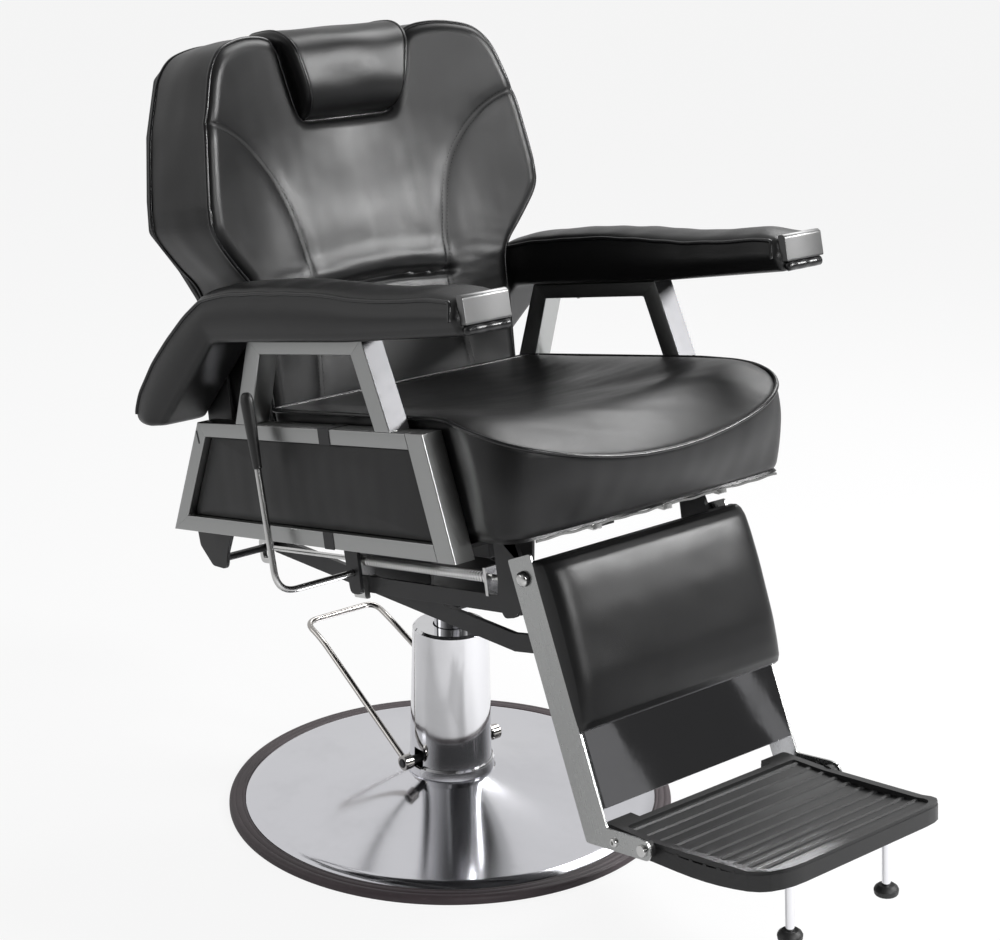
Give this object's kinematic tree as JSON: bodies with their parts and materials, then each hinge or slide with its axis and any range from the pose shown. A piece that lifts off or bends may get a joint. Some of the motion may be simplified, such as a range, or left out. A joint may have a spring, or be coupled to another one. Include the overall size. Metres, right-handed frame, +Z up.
{
  "type": "hydraulic barber chair",
  "caption": "Padded swivel chair on a round chromed base, with a lifting column, a reclining winged back, a sliding headrest, a linked leg rest and a folding ribbed footrest.",
  "frame": {"origin": "middle of the base's flat underside, on the floor", "axes": "+Z up, the sitter faces -Y, the sitter's left hand is at +X, the side with the hand lever is at -X"},
  "size_m": [0.7, 1.2532, 1.1867],
  "materials": {
    "floor_rubber": "matte",
    "mirror_chrome": "polished",
    "cast_base": "matte",
    "pump_steel": "satin",
    "black_steel": "satin",
    "satin_chrome": "satin",
    "plated_steel": "satin",
    "polished_panel": "polished",
    "black_vinyl": "satin",
    "black_board": "satin",
    "black_rubber": "matte",
    "black_plastic": "satin"
  },
  "bodies": {
    "base": {"base_rubber_ring": "floor_rubber", "base_dome_cover": "mirror_chrome", "base_plate": "cast_base", "column_collar": "mirror_chrome", "column_shroud": "mirror_chrome", "pump_cylinder": "pump_steel"},
    "pump_pedal": {"pedal_shaft": "black_steel", "pedal_wire": "mirror_chrome"},
    "lift": {"piston": "mirror_chrome", "swivel_head": "black_steel"},
    "seat": {"seat_mount_bracket": "black_steel", "front_cross_tube": "black_steel", "rear_cross_tube": "black_steel", "side_frame_left": "satin_chrome", "side_frame_right": "satin_chrome", "arm_frame_left": "satin_chrome", "arm_frame_right": "satin_chrome", "side_panel_left": "black_vinyl", "side_panel_right": "black_vinyl", "seat_pan": "black_board", "seat_cushion": "black_vinyl", "arm_pad_left": "black_vinyl", "arm_pad_right": "black_vinyl", "arm_end_plate_left": "mirror_chrome", "arm_end_plate_right": "mirror_chrome", "back_pivot_left": "black_steel", "back_pivot_right": "black_steel", "leg_bracket_left": "black_steel", "leg_bracket_right": "black_steel", "lock_bar": "black_steel", "lock_yoke": "plated_steel", "lock_spring": "plated_steel", "lock_front_plate": "plated_steel", "lever_bracket": "black_steel"},
    "back": {"back_cushion": "black_vinyl", "back_board": "black_board", "back_arm_left": "black_steel", "back_arm_right": "black_steel", "crank_rod": "black_steel", "headrest_guide": "black_steel"},
    "headrest": {"headrest_pad": "black_vinyl", "headrest_post": "mirror_chrome"},
    "drag_link": {"drag_link": "black_steel"},
    "lock_rod": {"lock_rod": "plated_steel"},
    "hand_lever": {"lever_rod": "mirror_chrome", "lever_grip": "black_plastic"},
    "leg_rest": {"leg_rail_left": "satin_chrome", "leg_rail_right": "satin_chrome", "kick_panel": "polished_panel", "leg_pad": "black_vinyl", "leg_cross_tube": "black_steel"},
    "footrest": {"footrest_tray": "black_rubber", "footrest_bolt_left": "plated_steel", "footrest_bolt_right": "plated_steel", "foot_leg_left": "plated_steel", "foot_leg_right": "plated_steel", "foot_pad_left": "black_rubber", "foot_pad_right": "black_rubber"}
  },
  "joints": [
    {"name": "pump_pedal_press", "type": "hinge", "parent": "base", "child": "pump_pedal", "pos_m": [0, 0, 0.085], "axis": [-1, 0, 0], "range_deg": [0, 18], "stiffness_Nm_per_rad": 12, "springref_deg": -20.05},
    {"name": "seat_lift", "type": "slide", "parent": "base", "child": "lift", "axis": [0, 0, 1], "range_m": [-0.06, 0.09]},
    {"name": "seat_swivel", "type": "hinge", "parent": "lift", "child": "seat", "pos_m": [0, 0, 0.358], "axis": [0, 0, 1], "continuous": true},
    {"name": "back_recline", "type": "hinge", "parent": "seat", "child": "back", "pos_m": [0, 0.24381, 0.49542], "axis": [-1, 0, 0], "range_deg": [0, 50]},
    {"name": "leg_rest_lift", "type": "hinge", "parent": "seat", "child": "leg_rest", "pos_m": [0, -0.38842, 0.52989], "axis": [-1, 0, 0], "range_deg": [0, 50]},
    {"name": "drag_link_pivot", "type": "hinge", "parent": "back", "child": "drag_link", "pos_m": [0, 0.27108, 0.37959], "axis": [-1, 0, 0], "range_deg": [-50, 0]},
    {"name": "lock_rod_slide", "type": "slide", "parent": "seat", "child": "lock_rod", "axis": [0, -0.979, 0.2036], "range_m": [0, 0.10059]},
    {"name": "headrest_slide", "type": "slide", "parent": "back", "child": "headrest", "axis": [0, 0.2036, 0.979], "range_m": [0, 0.11]},
    {"name": "hand_lever_pull", "type": "hinge", "parent": "seat", "child": "hand_lever", "pos_m": [-0.312, 0.01295, 0.41679], "axis": [-1, 0, 0], "range_deg": [0, 15], "stiffness_Nm_per_rad": 4, "springref_deg": -14.32},
    {"name": "footrest_fold", "type": "hinge", "parent": "leg_rest", "child": "footrest", "pos_m": [0, -0.63082, 0.22525], "axis": [-1, 0, 0], "range_deg": [0, 90]}
  ],
  "couplings": [
    {"joint": "leg_rest_lift", "follows": "back_recline", "ratio": 1},
    {"joint": "drag_link_pivot", "follows": "back_recline", "ratio": -1},
    {"joint": "lock_rod_slide", "follows": "back_recline", "m_per_rad": 0.11526}
  ]
}
